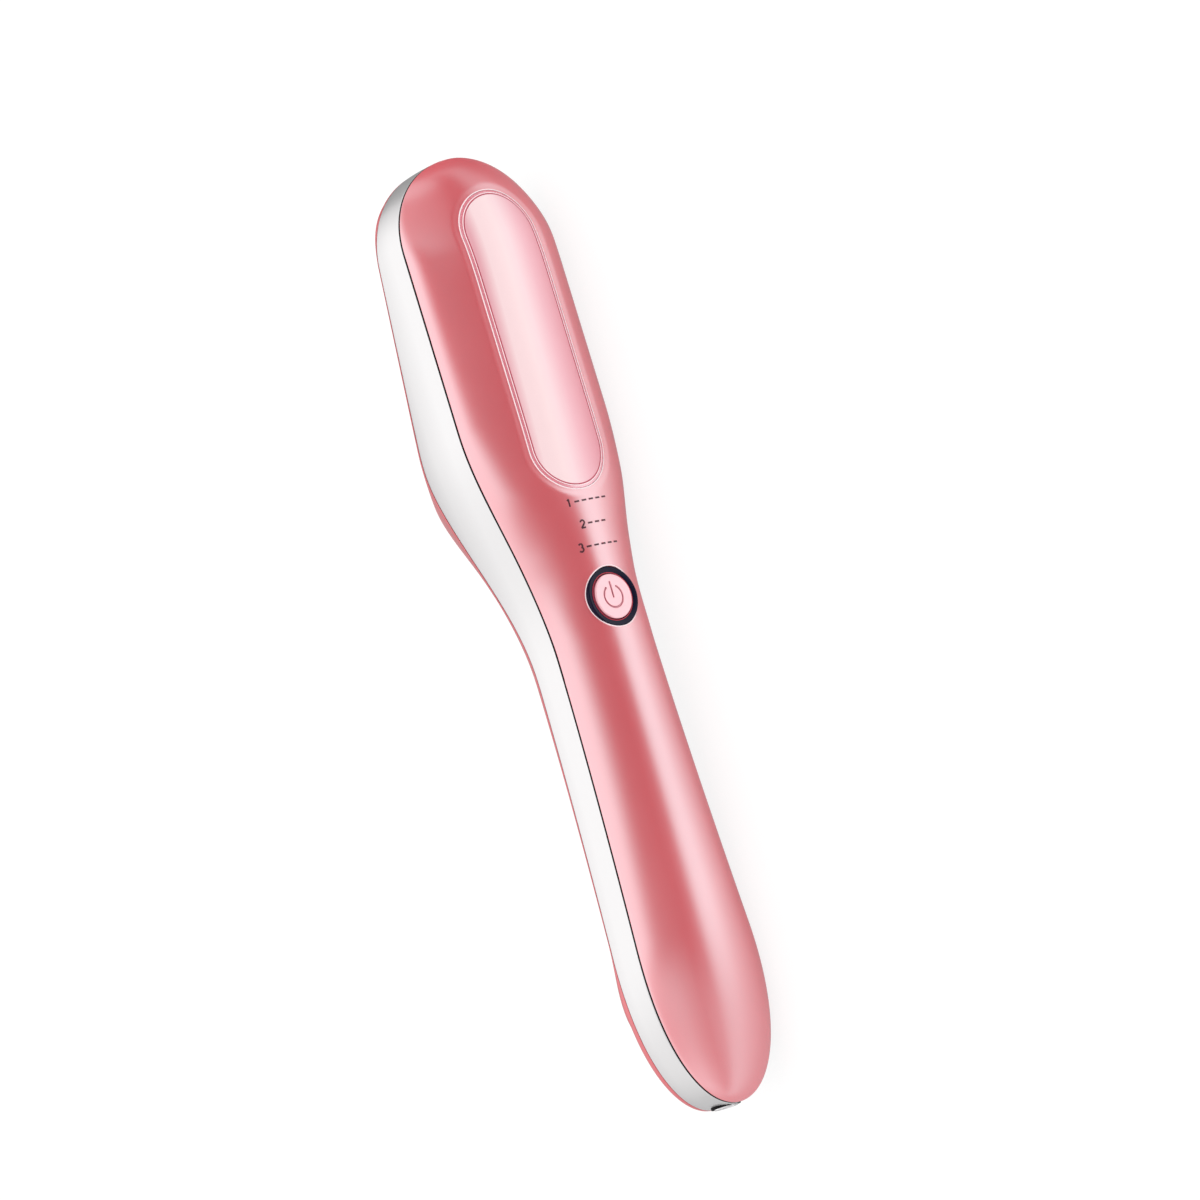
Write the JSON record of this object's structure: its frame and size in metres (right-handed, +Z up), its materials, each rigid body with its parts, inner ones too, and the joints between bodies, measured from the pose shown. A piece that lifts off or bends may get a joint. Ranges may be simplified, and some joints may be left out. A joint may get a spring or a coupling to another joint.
{
  "type": "plasma skin wand",
  "caption": "Handheld plasma skin wand with a slim handle, a heel at the neck, a flat head with a ceramic emitter strip on its back, and a sprung power button.",
  "frame": {"origin": "centre of the bounding box's underside, on the surface that the wand lies on", "axes": "+Z up; the wand lies on the right flank of its side band, its head towards +X, its button side facing -Y and its emitter side facing +Y"},
  "size_m": [0.1901, 0.033, 0.0369],
  "materials": {
    "front_cover": "satin pearl pink paint over moulded plastic",
    "window_lens": "pale pink translucent, satin",
    "light_guide": "frosted milky acrylic",
    "window_lights": "moulded lamp packages",
    "light_board": "white circuit board",
    "button_ring": "glossy navy",
    "power_button": "satin pale pink with an engraved power symbol",
    "switch_body": "black moulded",
    "switch_plunger": "natural moulded",
    "main_board": "green circuit board",
    "board_components": "black packages",
    "light_ribbon": "amber polyimide ribbon",
    "inner_frame": "natural moulded",
    "seam_gasket": "black",
    "side_band": "satin silver plating over plastic",
    "back_shell": "satin coral pink paint over moulded plastic",
    "back_plate": "lavender grey, satin",
    "emitter_bezel": "lavender grey, satin",
    "ceramic_emitter": "ivory, lightly glazed",
    "electrode_strip": "plain",
    "emitter_holder": "dark insulating plastic",
    "high_voltage_module": "potted block",
    "high_voltage_lead": "red silicone insulation",
    "battery_cell": "blue sleeve",
    "battery_tray": "natural moulded",
    "battery_contacts": "nickel plated",
    "battery_leads": "red insulation",
    "charge_leads": "red insulation",
    "charge_board": "green circuit board",
    "charge_socket": "black moulded",
    "socket_pin": "plated",
    "port_eyelet": "bright plated",
    "case_screws": "zinc plated"
  },
  "bodies": {
    "handset": {"front_cover": "front_cover", "window_lens": "window_lens", "light_guide": "light_guide", "window_lights": "window_lights", "light_board": "light_board", "button_ring": "button_ring", "switch_body": "switch_body", "main_board": "main_board", "board_components": "board_components", "light_ribbon": "light_ribbon", "inner_frame": "inner_frame", "seam_gasket": "seam_gasket", "side_band": "side_band", "back_shell": "back_shell", "back_plate": "back_plate", "emitter_bezel": "emitter_bezel", "ceramic_emitter": "ceramic_emitter", "electrode_strip": "electrode_strip", "emitter_holder": "emitter_holder", "high_voltage_module": "high_voltage_module", "high_voltage_lead": "high_voltage_lead", "battery_cell": "battery_cell", "battery_tray": "battery_tray", "battery_contacts": "battery_contacts", "battery_leads": "battery_leads", "charge_leads": "charge_leads", "charge_board": "charge_board", "charge_socket": "charge_socket", "socket_pin": "socket_pin", "port_eyelet": "port_eyelet", "case_screws": "case_screws"},
    "button": {"power_button": "power_button"},
    "plunger": {"switch_plunger": "switch_plunger"}
  },
  "joints": [
    {"name": "button_press", "type": "slide", "parent": "handset", "child": "button", "axis": [0, 1, 0], "range_m": [0, 0.0004], "stiffness_N_per_m": 1500, "springref_m": -0.0006},
    {"name": "plunger_press", "type": "slide", "parent": "handset", "child": "plunger", "axis": [0, 1, 0], "range_m": [0, 0.0004]}
  ],
  "couplings": [
    {"joint": "plunger_press", "follows": "button_press", "ratio": 1}
  ]
}
